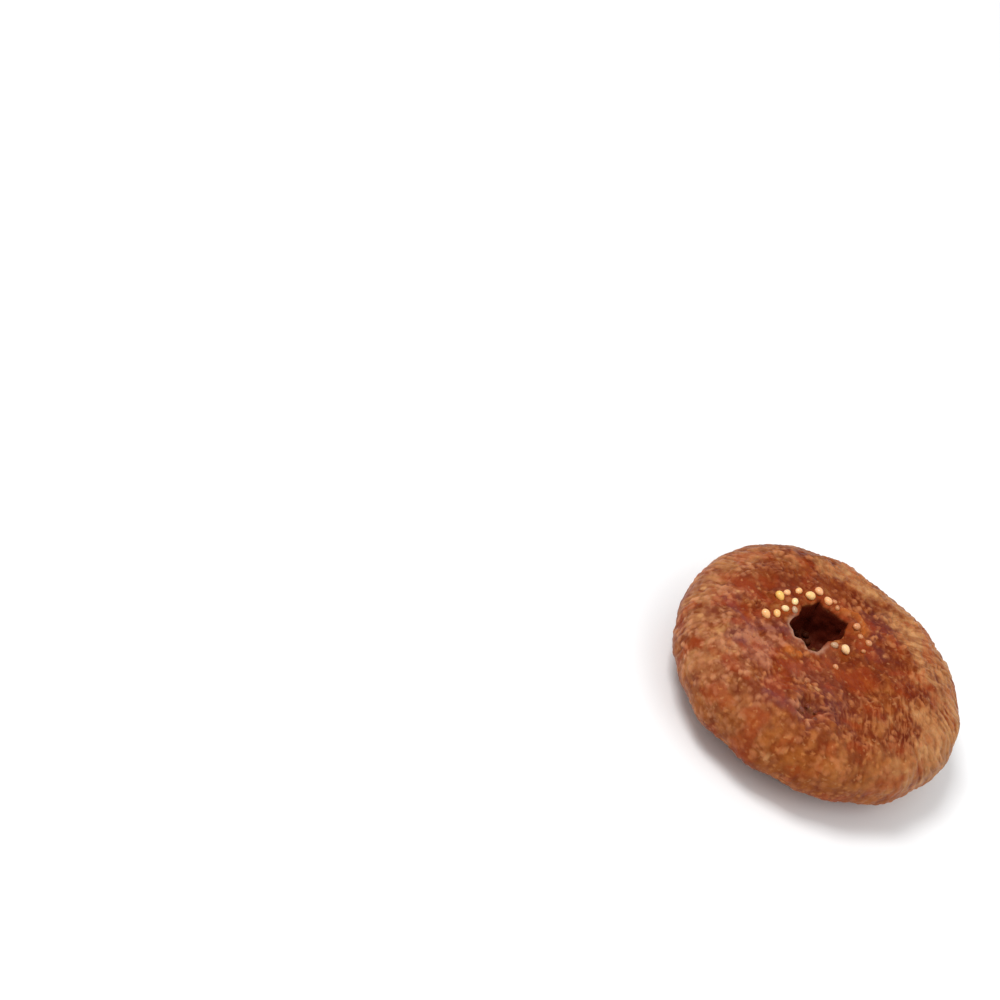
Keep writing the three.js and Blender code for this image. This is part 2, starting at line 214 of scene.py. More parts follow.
def plan_place(x, y):
    """The bearing of a point in plan, and its share of the way from the middle to the rim."""
    bearing = np.arctan2(y / WIDTH, x / LENGTH)
    share = np.hypot(2 * x / LENGTH, 2 * y / WIDTH) / rim_factor(bearing)
    return bearing, np.minimum(share, 1)


def puff(share):
    return (1 - share**SQUARENESS) ** (1 / SQUARENESS)


def widest_level(bearing, share):
    return BELLY_DEPTH - PRESSED_FLAT + wave(RIM_SAG, bearing) * share**2


def lip_radius(x, y):
    bearing = np.degrees(np.arctan2(y - HOLE["y"], x - HOLE["x"])) % 360
    tips = np.array(HOLE_EDGE)
    return np.interp(bearing, tips[:, 0], tips[:, 1], period=360)


def face_height(x, y):
    bearing, share = plan_place(x, y)
    from_dish = np.hypot(x - FACE_DISH["x"], y - FACE_DISH["y"])
    dish = FACE_DISH["depth"] * bell(from_dish, FACE_DISH["radius"])
    from_eye = np.hypot(x - EYE["x"], y - EYE["y"])
    eye = EYE["ring"] * bell(from_eye - EYE["ring_radius"], EYE["ring_width"])
    eye = eye - EYE["dent"] * bell(from_eye, EYE["dent_radius"])
    from_hole = np.hypot(x - HOLE["x"], y - HOLE["y"])
    lip = HOLE["lip"] * bell(from_hole - lip_radius(x, y) - HOLE["lip_width"] / 2, HOLE["lip_width"])
    return widest_level(bearing, share) + CROWN_HEIGHT * puff(share) - dish + eye + lip


def belly_height(x, y):
    bearing, share = plan_place(x, y)
    from_stalk = np.hypot(x - STALK["x"], y - STALK["y"])
    dimple = STALK["dimple"] * bell(from_stalk, STALK["dimple_radius"])
    return widest_level(bearing, share) - BELLY_DEPTH * puff(share) + dimple


def even_share(way, start):
    """The share of the way from hole or stalk to rim, in even steps along the skin."""
    turn = np.linspace(0, math.pi / 2, 600)
    share = np.sin(turn) ** (2 / SQUARENESS)
    out = start + (LENGTH / 2 - start) * share
    height = CROWN_HEIGHT * puff(share)
    steps = np.hypot(np.diff(out), np.diff(height))
    length = np.concatenate([[0], np.cumsum(steps)])
    return np.interp(way * length[-1], length, share)


# ---- Modelling helpers ----

def start_piece(name):
    """Names the primitive that has just been added, and its mesh."""
    piece = bpy.context.object
    piece.name = piece.data.name = name
    return piece


def clear_selection():
    if bpy.context.object and bpy.context.object.mode != "OBJECT":
        bpy.ops.object.mode_set(mode="OBJECT")
    bpy.ops.object.select_all(action="DESELECT")


def take(piece):
    clear_selection()
    piece.select_set(True)
    bpy.context.view_layer.objects.active = piece


def points_of(piece, what="co"):
    values = np.empty(3 * len(piece.data.vertices), dtype=np.float32)
    if what == "normal":
        piece.data.vertex_normals.foreach_get("vector", values)
    else:
        piece.data.vertices.foreach_get("co", values)
    return values.reshape(-1, 3).astype(np.float64)


def set_points(piece, points):
    piece.data.vertices.foreach_set("co", points.astype(np.float32).ravel())
    piece.data.update()


def set_attribute(piece, name, values):
    attribute = piece.data.attributes.new(name, "FLOAT", "POINT")
    attribute.data.foreach_set("value", values.astype(np.float32))


def grain(points, size, shift=0.0):
    return np.array([noise.noise(p) for p in (points / size + shift).tolist()])


def cells(points, size, shift=0.0):
    """Domes packed side by side, 1 at a cell's middle and 0 between cells, and a tint for each cell."""
    found = [noise.voronoi(p) for p in (points / size + shift).tolist()]
    nearest = np.array([distances[0] for distances, _ in found])
    middle = np.array([places[0] for _, places in found])
    tint = np.abs(np.sin(middle @ (12.99, 78.23, 37.72)) * 43758.5) % 1
    return np.clip(1 - (nearest / 0.75) ** 2, 0, 1), tint


# ---- The skin ----

def fig_ball():
    """A ball of even rings, with twice the columns where the fig is widest."""
    clear_selection()
    bpy.ops.mesh.primitive_uv_sphere_add(segments=COLUMNS, ring_count=RINGS, radius=1)
    ball = start_piece("FigSkin")
    mesh = ball.data
    ends = np.empty(2 * len(mesh.edges), dtype=np.int32)
    mesh.edges.foreach_get("vertices", ends)
    level = points_of(ball)[:, 2][ends.reshape(-1, 2)]
    top, bottom = (math.cos(math.pi * ring / RINGS) for ring in DENSE_RINGS)
    along_ring = np.abs(level[:, 0] - level[:, 1]) < 1e-5
    chosen = along_ring & (level[:, 0] < top) & (level[:, 0] > bottom)
    bpy.ops.object.mode_set(mode="EDIT")
    bpy.ops.mesh.select_mode(type="EDGE")
    bpy.ops.mesh.select_all(action="DESELECT")
    bpy.ops.object.mode_set(mode="OBJECT")
    mesh.edges.foreach_set("select", chosen)
    bpy.ops.object.mode_set(mode="EDIT")
    bpy.ops.mesh.subdivide(number_cuts=1)
    bpy.ops.object.mode_set(mode="OBJECT")
    return ball


class Skin:
    """Where each vertex of the ball goes on the fig: ring, bearing, share, side and place, in
    millimetres."""

    def __init__(self, ball):
        x, y, z = points_of(ball).T
        self.ring = np.arctan2(np.hypot(x, y), z) / math.pi * RINGS
        self.bearing = np.arctan2(y, x)
        self.inside = self.ring < LIP_RING - 0.5
        self.belly = self.ring > RIM_RING
        face_way = np.clip((self.ring - LIP_RING) / (RIM_RING - LIP_RING), 0, 1)
        belly_way = np.clip((RINGS - self.ring) / (RINGS - RIM_RING), 0, 1)
        self.share = np.where(self.belly, even_share(belly_way, 0), even_share(face_way, 5))
        self.points = self.place()
        self.x, self.y, self.z = self.points.T
        self.from_lip = self.away_from(HOLE["x"], HOLE["y"]) - lip_radius(self.x, self.y)

    def place(self):
        rim_x, rim_y = rim_point(self.bearing)
        hole_x, hole_y = HOLE["x"], HOLE["y"]
        start = lip_radius(rim_x, rim_y) / np.hypot(rim_x - hole_x, rim_y - hole_y)
        out = start + (1 - start) * self.share
        way, size, depth = np.array(HOLE_WALL).T
        in_hole = np.clip(self.ring / LIP_RING, 0, 1)
        self.down = np.interp(in_hole, way, depth)
        out = np.where(self.inside, start * np.interp(in_hole, way, size), out)
        x = hole_x + (rim_x - hole_x) * out
        y = hole_y + (rim_y - hole_y) * out
        x = np.where(self.belly, STALK["x"] + (rim_x - STALK["x"]) * self.share, x)
        y = np.where(self.belly, STALK["y"] + (rim_y - STALK["y"]) * self.share, y)
        lip_height = face_height(hole_x + (rim_x - hole_x) * start, hole_y + (rim_y - hole_y) * start)
        floor = face_height(hole_x, hole_y) - HOLE["depth"]
        z = np.where(self.belly, belly_height(x, y), face_height(x, y))
        z = np.where(self.inside, lip_height + (floor - lip_height) * self.down, z)
        return np.stack([x, y, z], axis=1)

    def towards(self, bearing, spread):
        """1 on the side of a bearing, falling away over a spread, both in degrees."""
        turn = np.degrees(self.bearing) - bearing
        return bell((turn + 180) % 360 - 180, spread)

    def away_from(self, x, y):
        return np.hypot(self.x - x, self.y - y)

    def above(self, values):
        """The values on the face and in the hole, and 0 on the underside."""
        return np.where(self.belly, 0, values)

    def on_face(self, values):
        """The values on the face, and 0 in the hole and on the underside."""
        return np.where(self.belly | self.inside, 0, values)


def fold_relief(skin):
    """Rounded folds with sharp valleys, which stray, weaken and give way to finer ones."""
    p = skin.points
    turn = np.stack([np.cos(skin.bearing), np.sin(skin.bearing), skin.share * 0.3], axis=1)
    stray = 1.3 * grain(p, 8) + 0.55 * grain(p, 2.8, 4)
    round_rim = skin.bearing / math.tau
    broad = np.abs(np.sin(math.pi * (FOLDS * round_rim + stray))) ** FOLD_ROUNDNESS
    fine = np.abs(np.sin(math.pi * (FINE_FOLDS * round_rim + 1.4 * stray))) ** FOLD_ROUNDNESS
    finer_here = smooth(grain(turn, 0.16, 7), -0.1, 0.35)
    fold = broad * (1 - finer_here) + (0.25 + 0.6 * fine) * finer_here
    strength = np.clip(0.8 + 0.75 * grain(turn, 0.09, 2), 0.2, 1.25)
    facing = 0.3 + 0.7 * skin.towards(**STRONG_FOLDS)
    on_face = facing * (0.1 + 0.9 * smooth(skin.share, 0.68, 0.95))
    below = smooth(skin.share, 1.0, 0.8)
    on_belly = smooth(skin.share, 0.05, 0.3) * (facing + (1 - facing) * below)
    reach = np.where(skin.belly, on_belly, on_face)
    return FOLD_HEIGHT * strength * reach * (fold - FOLD_LEVEL)


def net_relief(skin):
    """A raised net of thin, soft ridges, drawn out towards the hole, with others that run round it."""
    bearing = np.stack([np.cos(skin.bearing), np.sin(skin.bearing)], axis=1)
    bend = 0.35 * grain(skin.points, 5, 11) + 0.12 * grain(skin.points, 1.8, 2)
    along = np.column_stack([bearing * 11, skin.share * 6 + bend])
    across = np.column_stack([bearing * 3.4, skin.share * 19 + 4 * bend])
    ridges = 0
    for lines, height in ((along, 0.8), (across, 1.0)):
        line = 1 - np.abs(grain(lines, 1.0, 5)) * 4
        where = smooth(grain(skin.points, 4.5, 13 + 5 * height), -0.25, 0.25)
        ridges = np.maximum(ridges, height * where * np.clip(line, 0, 1) ** 1.5)
    inner = 1 - 0.75 * smooth(skin.share, 0.6, 0.95)
    return NET_HEIGHT * ridges * np.where(skin.belly, 0.3, inner)


def nub_relief(skin):
    """Nubs that crowd the skin where seeds push up from below, some higher than others, drawn out into
    short ridges on one side: their height, and how much of each one's top is stretched and pale, a
    painted highlight."""
    p = skin.points
    run = math.radians(RIDGES_RUN)
    along = skin.x * math.cos(run) + skin.y * math.sin(run)
    across = skin.y * math.cos(run) - skin.x * math.sin(run)
    drawn_out = np.column_stack([along / 1.9, across / NUBS["size"] + 0.9 * grain(p, 3, 8), p[:, 2] / 3])
    long_dome, long_draw = cells(drawn_out, 1.0)
    round_dome, round_draw = cells(p + 0.4 * grain(p, 1.7, 14)[:, None], NUBS["size"])
    ridged = skin.towards(**RIDGED_SIDE) * smooth(skin.share, 0.78, 0.6) + 0.6 * grain(p, 5, 31)
    ridged = skin.above(smooth(ridged, 0.35, 0.5))
    dome = smooth(ridged * long_dome + (1 - ridged) * round_dome, -0.2, 1.0)
    draw = np.where(ridged > 0.5, long_draw, round_draw)
    fine, fine_draw = cells(p, NUBS["size"] * 0.62, 3.3)
    where = np.clip(0.75 + 1.0 * grain(p, 3.5, 9), 0.1, 1.4)
    below = 0.3 + 0.2 * smooth(skin.share, 0.75, 1)
    reach = np.where(skin.belly, below, 1 - 0.5 * smooth(skin.share, 0.7, 0.95))
    reach = reach * (1 + 0.3 * skin.towards(**SHOULDER_SIDE) * smooth(skin.share, 0.6, 0.85))
    smoother = (1 - 0.6 * calm(skin)) * (1 - 0.75 * near_eye(skin))
    reach = reach * (1 + 0.1 * ridged) * smoother
    height = (0.35 + 0.65 * draw) * dome - 0.4 + 0.15 * (fine - 0.5) + 0.4 * grain(p, 1.1, 12)
    # pale: a painted highlight on each nub's top
    pale = smooth(dome, 0.3, 1.0) * smooth(draw, 0.35, 0.95)
    pale = np.maximum(pale, 0.5 * smooth(fine, 0.3, 1.0) * smooth(fine_draw, 0.6, 1))
    pale = pale * np.clip(where, 0, 1) * smoother * (1 - 0.5 * ridged)
    return NUBS["height"] * where * reach * height, pale


def calm(skin):
    return skin.above(bell(from_line(skin, CALM_BAND), CALM_WIDTH))


def near_eye(skin):
    return skin.above(bell(skin.away_from(EYE["x"], EYE["y"]), EYE_CALM))


def eye_ridges(skin):
    """1 along each pucker that runs into the eye, fading at its edges and broken here and there."""
    nearest = np.min([from_line(skin, ridge) for ridge in EYE_RIDGES], axis=0)
    nearest = nearest + 0.35 * grain(skin.points, 1.1, 21)
    unbroken = smooth(grain(skin.points, 1.2, 8), -0.35, 0.1)
    return skin.above(bell(nearest, EYE_RIDGE_SIZE["width"]) * unbroken)


def eye_relief(skin):
    """The puckers, the gaps between them, and a few weaker ones all round."""
    x, y = skin.x - EYE["x"], skin.y - EYE["y"]
    away = np.hypot(x, y)
    turn = np.arctan2(y, x) + 0.5 * grain(skin.points, 1.9, 21)
    pucker = np.abs(np.sin(4.5 * turn + 0.5 * np.sin(away * 2))) ** 0.7 - 0.65
    strength = np.clip(0.5 + 1.2 * grain(skin.points, 1.6, 27), 0.1, 1.1)
    weaker = 0.3 * strength * pucker * bell(away - 2.4, 1.8)
    return skin.above(weaker + EYE_RIDGE_SIZE["height"] * eye_ridges(skin))


def mark_relief(skin):
    """The translucent fold, the swollen eye, the blisters, and the flesh drawn up round each seed."""
    height = FLAP_SIZE["height"] * bell(from_line(skin, FLAP), FLAP_SIZE["width"])
    from_eye = skin.away_from(EYE["x"], EYE["y"])
    height = height + EYE_SWELL["height"] * bell(from_eye, EYE_SWELL["radius"])
    for x, y, radius in BLISTERS:
        height = height + BLISTER_HEIGHT * bell(skin.away_from(x, y), radius)
    collars = COLLAR_HEIGHT * round_seeds(skin, **COLLAR_RING)
    return skin.on_face(np.maximum(height, collars))


def from_line(skin, line):
    """The distance, in plan, from a bent line."""
    nearest = np.full(len(skin.x), np.inf)
    for (x0, y0), (x1, y1) in zip(line, line[1:]):
        run_x, run_y = x1 - x0, y1 - y0
        way = ((skin.x - x0) * run_x + (skin.y - y0) * run_y) / (run_x**2 + run_y**2)
        way = np.clip(way, 0, 1)
        nearest = np.minimum(nearest, np.hypot(skin.x - x0 - way * run_x, skin.y - y0 - way * run_y))
    return nearest


def round_seeds(skin, share, width):
    """1 in a ring round each seed, at a share of its length from its middle."""
    ring = np.zeros(len(skin.x))
    for (x, y), (_, _, length, _) in zip(seed_spots(), SEEDS):
        ring = np.maximum(ring, bell(skin.away_from(x, y) - share * length, width))
    return ring


def seed_spots():
    bearing, out = np.radians([seed[0] for seed in SEEDS]), np.array([seed[1] for seed in SEEDS])
    return np.column_stack([HOLE["x"] + out * np.cos(bearing), HOLE["y"] + out * np.sin(bearing)])


def patches(skin, marks, ragged):
    """1 in the middle of each round mark, with a ragged edge."""
    total = 0
    for x, y, radius in marks:
        away = skin.away_from(x, y) / radius + ragged * grain(skin.points, 1.6, 17)
        total = np.maximum(total, smooth(away, 1.1, 0.4))
    return skin.above(total)


def lay_flow(ball, skin):
    """How far round and out from the hole each point is, for the streaks of the material."""
    out_x, out_y = skin.x - HOLE["x"], skin.y - HOLE["y"]
    turn = np.where(skin.belly, skin.bearing, np.arctan2(out_y, out_x))
    out = np.where(skin.belly, LENGTH - np.hypot(skin.x, skin.y), np.hypot(out_x, out_y))
    flow = np.column_stack([np.cos(turn), np.sin(turn), out])
    ball.data.attributes.new("flow", "FLOAT_VECTOR", "POINT").data.foreach_set("vector", flow.ravel())


def tan_mask(skin, cloud, edge):
    """Tan on the rim, by how tan each side is, weaker on the near walls, partly as painted shade, with a
    painted shadow over the left edge, and again on the underside.
    """
    reaches = (further * skin.towards(*side) for further, *side in TAN_REACH.values())
    begins = TAN_BEGINS - sum(reaches)
    rim = np.where(skin.belly, 1, smooth(edge, begins - 0.08, begins + 0.22))
    bearings, amounts = np.array(TAN_RIM).T
    by_side = np.interp(np.degrees(skin.bearing) % 360, bearings, amounts, period=360)
    # less tan on the near walls: partly their own orange-brown, partly painted shade
    far_side = smooth(np.cos(skin.bearing - math.radians(60)), 0.0, 0.6)
    wall = by_side * (0.2 + 0.8 * far_side)
    over_edge = by_side + (wall - by_side) * smooth(edge, 0.92, 1.02) * skin.towards(**SHADOW_PAINTED_EDGE)
    underside = wall + (0.85 - wall) * smooth(edge, 0.8, 0.45)
    by_side = np.where(skin.belly, underside, over_edge)
    return np.clip(rim * by_side * (1 + 0.8 * cloud), 0, 1)


def lip_mask(skin):
    """The grey thickness of the torn edge, on one side of the hole."""
    turn = np.arctan2(skin.y - HOLE["y"], skin.x - HOLE["x"]) - math.radians(PALE_LIP["bearing"])
    lip = bell(skin.from_lip - PALE_LIP["out"] + 0.7 * grain(skin.points, 1.1, 33), PALE_LIP["width"])
    lip = lip * smooth(np.cos(turn), 0.1, 0.7)
    return np.where(skin.belly | (skin.down > 0.06) & skin.inside, 0, lip)


def colour_masks(skin):
    """Masks from 0 to 1 for the material, one for each colour laid in some places: the skin's own, and
    painted shade, shadow, highlights and glints.
    """
    cloud = grain(skin.points, 5, 23) + 0.5 * grain(skin.points, 2, 3)
    edge = skin.share + 0.2 * cloud
    edge = edge + 0.15 * grain(skin.points, 1.1, 44)
    rimward = np.where(skin.belly, 1, smooth(edge, 0.45, 0.75))
    streaked = skin.towards(**STREAKED_SIDE) * smooth(skin.share, 0.3, 0.55) * smooth(edge, 0.92, 0.7)
    red = patches(skin, RED_MARKS, RAGGED["red"])
    warm = skin.towards(*WARM_NEAR) * np.where(skin.belly, 1, smooth(edge, 0.63, 0.93))
    warm = warm + 0.5 * patches(skin, WARM_MARKS, RAGGED["warm"])
    vein = np.min([from_line(skin, line) for line in VEINS], axis=0) + 0.4 * grain(skin.points, 1.4, 50)
    inner_left = bell(skin.away_from(MAUVE["x"], MAUVE["y"]), MAUVE["radius"])
    flap = skin.on_face(bell(from_line(skin, FLAP), FLAP_SIZE["orange"]))
    dots = [(x, y, PALE_DOT_RADIUS) for x, y in GLINT_AND_PALE_DOTS]
    return {
        "tan": tan_mask(skin, cloud, edge),
        "shoulder": skin.towards(**SHOULDER_SIDE) * rimward,
        "ribbed": np.where(skin.belly, 1, 0.25 + 0.75 * skin.towards(**STRONG_FOLDS)),
        "streaked": skin.on_face(streaked),
        "red": red,
        "warm": np.clip(warm + 0.35 * (cloud + 0.2), 0, 1) * (1 - 0.7 * red),
        "pink": patches(skin, PINK_MARKS, RAGGED["pink"]),
        "purple": patches(skin, PURPLE_MARKS, RAGGED["purple"]),
        "veins": skin.above(bell(vein, VEIN_WIDTH)),
        "mauve": skin.above(inner_left * smooth(grain(skin.points, 3.2, 40), -0.25, 0.2)),
        "orange": np.maximum(flap, patches(skin, BLISTERS, RAGGED["orange"])),
        "dots": patches(skin, dots, RAGGED["dots"]),
        "lip": lip_mask(skin),
        # pulp: the hole's walls and floor, for the dark pulp and the painted shade of the hole
        "pulp": np.where(skin.inside, smooth(skin.down, 0.0, 0.08), 0),
        "seedbed": skin.on_face(round_seeds(skin, **SEEDBED_RING)),
        "calm": calm(skin),
    }


def press_into_form(ball):
    """Presses the ball into the fig, and raises its folds, ridges and nubs along the normals."""
    skin = Skin(ball)
    set_points(ball, skin.points * MM)
    normals = points_of(ball, "normal")
    p = skin.points
    folds = fold_relief(skin)
    nubs, pale = nub_relief(skin)
    detail = folds + net_relief(skin) + nubs + eye_relief(skin)
    detail = detail * np.where(skin.belly, 1, smooth(skin.from_lip, -0.3, 1.4))
    pulp_folds = 0.35 * (cells(p, 1.7, 6)[0] - 0.5) + 0.3 * grain(p, 1.4)
    detail = np.where(skin.inside, pulp_folds * smooth(skin.down, 0.05, 0.4), detail)
    height = detail + LUMPS["height"] * grain(p, LUMPS["size"], 5) + mark_relief(skin)
    pressed = np.where(skin.belly, smooth(p[:, 2], 0, UNDERSIDE_PRESSED), 1)
    moved = p + normals * (pressed * height)[:, None]
    moved[:, 2] = np.maximum(moved[:, 2], 0)
    moved[:, :2] += MIDDLE
    set_points(ball, moved * MM)
    lay_flow(ball, skin)
    # pale holds the painted highlights on the nub tops
    shapes = {"relief": detail, "folds": folds, "pale": pale, "eye": eye_ridges(skin)}
    for name, values in (shapes | colour_masks(skin)).items():
        set_attribute(ball, name, values)


def fit_to_solid(ball):
    """Brings the skin's outer size to the solid's."""
    points = points_of(ball)
    low, high = (np.array(corner) for corner in CAD_BOX)
    own_low, own_high = points.min(axis=0), points.max(axis=0)
    set_points(ball, low + (points - own_low) * (high - low) / (own_high - own_low))


def make_skin():
    ball = fig_ball()
    press_into_form(ball)
    fit_to_solid(ball)
    take(ball)
    bpy.ops.object.shade_smooth()
    return ball


# ---- Small pieces ----

def blob(name, segments=20, rings=14):
    """A small ball, and its points, from -0.5 to 0.5."""
    clear_selection()
    bpy.ops.mesh.primitive_uv_sphere_add(segments=segments, ring_count=rings, radius=0.5)
    piece = start_piece(name)
    bpy.ops.object.shade_smooth()
    return piece, points_of(piece)


def turned(points, angle, axis):
    return points @ np.array(Matrix.Rotation(angle, 3, axis)).T


def join(name, pieces):
    take(pieces[0])
    for piece in pieces:
        piece.select_set(True)
    bpy.ops.object.join()
    return start_piece(name)


def on_skin(skin, x, y):
    """The skin's upper side at a place in the fig's own plan: the point, in metres, and its normal."""
    start = Vector((x + MIDDLE[0], y + MIDDLE[1], 30)) * MM
    _, spot, normal, _ = skin.ray_cast(start, Vector((0, 0, -1)))
    return spot, Vector(normal)


def make_seeds(skin):
    draw = np.random.default_rng(7)
    seeds = []
    for index, ((x, y), (_, _, length, tint)) in enumerate(zip(seed_spots(), SEEDS)):
        seed, p = blob(f"Seed_{index:02d}")
        spot, normal = on_skin(skin, x, y)
        lean = normal.lerp(Vector((0, 0, 1)), 0.6).normalized()
        p *= np.array(SEED_SHAPE) * length
        p[:, 1:] *= (1 - 0.2 * (p[:, 0] / length + 0.5))[:, None]
        spin = Matrix.Rotation(draw.uniform(0, math.tau), 3, "Z")
        p = p @ np.array(lean.to_track_quat("Z", "Y").to_matrix() @ spin).T
        # painted shade, darker towards the side of the seed that sits in the skin
        set_attribute(seed, "foot_shade", smooth(p @ np.array(lean) / length, 0.12, -0.25))
        p = p * MM + np.array(spot + lean * (SEED_PROUD * length * MM))
        p[:, 2] -= max(0, p[:, 2].max() - CAD_BOX[1][2])
        set_points(seed, p)
        set_attribute(seed, "tint", np.full(len(p), tint))
        seeds.append(seed)
    return join("Seeds", seeds)


def make_eye_scales():
    """Thin scales that lean in over the eye, with wavy edges."""
    scales = []
    for index in range(EYE_SCALES["count"]):
        scale, p = blob(f"EyeScale_{index}", 28, 16)
        p *= (EYE_SCALES["length"], EYE_SCALES["width"], EYE_SCALES["thickness"])
        p[:, 2] += 0.25 * np.sin(3 * p[:, 1] + index) + 0.12 * grain(p, 0.9, index)
        bearing = math.tau * index / EYE_SCALES["count"]
        p = turned(turned(p, math.radians(EYE_SCALES["tilt"]), "Y"), bearing, "Z")
        x = EYE["x"] + EYE_SCALES["out"] * math.cos(bearing)
        y = EYE["y"] + EYE_SCALES["out"] * math.sin(bearing)
        height = face_height(np.float64(x), np.float64(y)) - EYE_SCALES["sunk"]
        p += (x + MIDDLE[0], y + MIDDLE[1], height)
        set_points(scale, p * MM)
        set_attribute(scale, "relief", 0.3 * grain(p, 1.1, 3))
        scales.append(scale)
    return join("EyeScales", scales)


def make_stalk():
    """The stub of the stalk, bent over in its dimple, ridged, with a torn end."""
    stalk, p = blob("Stalk", 72, 60)
    along = p[:, 2] * 2
    radius = STALK["radius"] * (1 - 0.15 * (along + 1) / 2) * (1 - np.abs(along) ** 9) ** 0.5
    radius = radius * (1 - STALK["waist"] * np.cos(math.pi / 2 * along))
    turn = np.arctan2(p[:, 1], p[:, 0])
    ridge = STALK["ridge"] * np.cos(STALK["ridges"] * turn) + 0.05 * np.cos(17 * turn + 2 * along)
    radius = radius * (1 + ridge)
    x, z = radius * np.cos(turn), radius * np.sin(turn) * STALK["squash"]
    y = STALK["length"] * (along + 1) / 2
    p = np.column_stack([x, y, z])
    rough = 0.12 * grain(p, 0.7, 2) + 0.06 * grain(p, 0.25, 8)
    p[:, 1] += 3 * rough * smooth(along, 0.8, 1)
    p = p * (1 + np.column_stack([rough, 0 * rough, rough]))
    p = turned(p, -math.radians(STALK["droop"]), "X")
    p = turned(p, math.radians(STALK["bearing"] - 90), "Z")
    root = belly_height(np.float64(STALK["x"]), np.float64(STALK["y"])) - STALK["root"]
    p += (STALK["x"] + MIDDLE[0], STALK["y"] + MIDDLE[1], root)
    p[:, 2] = np.maximum(p[:, 2], 0.02)
    set_points(stalk, p * MM)
    set_attribute(stalk, "relief", 2 * rough + ridge)
    set_attribute(stalk, "end", smooth(along, 0.9, 0.99))
    return stalk


def make_pulp(skin):
    """Small seeds and grains of pulp on the floor and the lower wall of the hole."""
    draw = np.random.default_rng(11)
    grains = []
    for index in range(PULP["count"]):
        bearing = index * GOLDEN_TURN
        out = PULP["spread"] * math.sqrt((index + 0.5) / PULP["count"])
        x, y = HOLE["x"] + out * math.cos(bearing), HOLE["y"] + out * math.sin(bearing)
        spot, _ = on_skin(skin, x, y)
        bead, p = blob(f"Pulp_{index:02d}", 16, 10)
        p *= PULP["size"] * draw.uniform(0.6, 1.1)
        p *= 1 + 0.3 * grain(p, 0.8, index)[:, None]
        set_points(bead, p * MM + np.array(spot))
        set_attribute(bead, "tint", np.full(len(p), draw.uniform(0, 1)))
        grains.append(bead)
    return join("Pulp", grains)


# ---- Materials ----

def plug(node, **inputs):
    """Sets a node's inputs, by name or as i and a number. One that is given a socket is linked."""
    for name, value in inputs.items():
        numbered = name[0] == "i" and name[1:].isdigit()
        socket = node.inputs[int(name[1:]) if numbered else name.replace("_", " ")]
        if isinstance(value, bpy.types.NodeSocket):
            node.id_data.links.new(value, socket)
        else:
            socket.default_value = value
    return node


def add_node(tree, kind, settings=None, **inputs):
    made = tree.nodes.new("ShaderNode" + kind)
    for name, value in (settings or {}).items():
        setattr(made, name, value)
    return plug(made, **inputs)


def maths(tree, operation, a, b):
    return add_node(tree, "Math", {"operation": operation}, i0=a, i1=b).outputs[0]


def times(tree, a, b):
    return maths(tree, "MULTIPLY", a, b)


def blend(tree, mask, below, above):
    """Mixes two colours by a mask. Each colour is a socket, or red, green and blue."""
    below, above = (
        each if isinstance(each, bpy.types.NodeSocket) else (*each, 1) for each in (below, above)
    )
    return add_node(tree, "Mix", {"data_type": "RGBA"}, i0=mask, i6=below, i7=above).outputs[2]


class Coat:
    """A material's colour, built up in layers."""

    def __init__(self, tree, colour):
        self.tree = tree
        self.colour = colour

    def lay(self, mask, amount, colour):
        """Lays a colour where a mask is, as strongly as an amount from 0 to 1 says."""
        self.colour = blend(self.tree, times(self.tree, mask, amount), self.colour, colour)

    def lay_marks(self, *marks):
        """Lays colours where the mesh's own masks are."""
        for name, amount, colour in marks:
            self.lay(attribute(self.tree, name), amount, colour)

    def lay_specks(self, size, share, amount, colour):
        self.lay(effect(self.tree, "Specks", Size=size, Share=share), amount, colour)


def ramp(tree, factor, *stops):
    made = add_node(tree, "ValToRGB", Fac=factor)
    elements = made.color_ramp.elements
    while len(elements) < len(stops):
        elements.new(0.5)
    for element, (place, colour) in zip(elements, stops):
        element.position = place
        element.color = (*colour, 1)
    return made.outputs["Color"]


def new_group(name, inputs, output):
    """A group whose inputs have the values given, and whose output is a number."""
    group = bpy.data.node_groups.new(name, "ShaderNodeTree")
    for socket, value in inputs.items():
        kind = "NodeSocketVector" if isinstance(value, tuple) else "NodeSocketFloat"
        group.interface.new_socket(socket, in_out="INPUT", socket_type=kind).default_value = value
    group.interface.new_socket(output, in_out="OUTPUT", socket_type="NodeSocketFloat")
    return group, group.nodes.new("NodeGroupInput").outputs, group.nodes.new("NodeGroupOutput").inputs


def place(tree):
    return add_node(tree, "TexCoord").outputs["Object"]


def moved_by(tree, shift):
    return add_node(tree, "VectorMath", {"operation": "ADD"}, i0=place(tree), i1=shift).outputs[0]


def cloud_mask(group, out, low, high, **noise_inputs):
    """A noise, from low to high, mapped on to 0 to 1 as the group's mask."""
    cloud = add_node(group, "TexNoise", **noise_inputs).outputs["Fac"]
    mask = add_node(group, "MapRange", Value=cloud, From_Min=low, From_Max=high)
    group.links.new(mask.outputs["Result"], out["Mask"])


def mottle_group():
    """Cloudy mottling from 0 to 1, of a size given in millimetres."""
    inputs = {"Size": 4.0, "Roughness": 0.6, "Shift": (0, 0, 0)}
    group, given, out = new_group("Mottle", inputs, "Mask")
    cloud_mask(group, out, 0.3, 0.7, Vector=moved_by(group, given["Shift"]), Detail=4.0,
               Scale=maths(group, "DIVIDE", PER_METRE, given["Size"]),
               Roughness=given["Roughness"], Distortion=0.4)
    return group


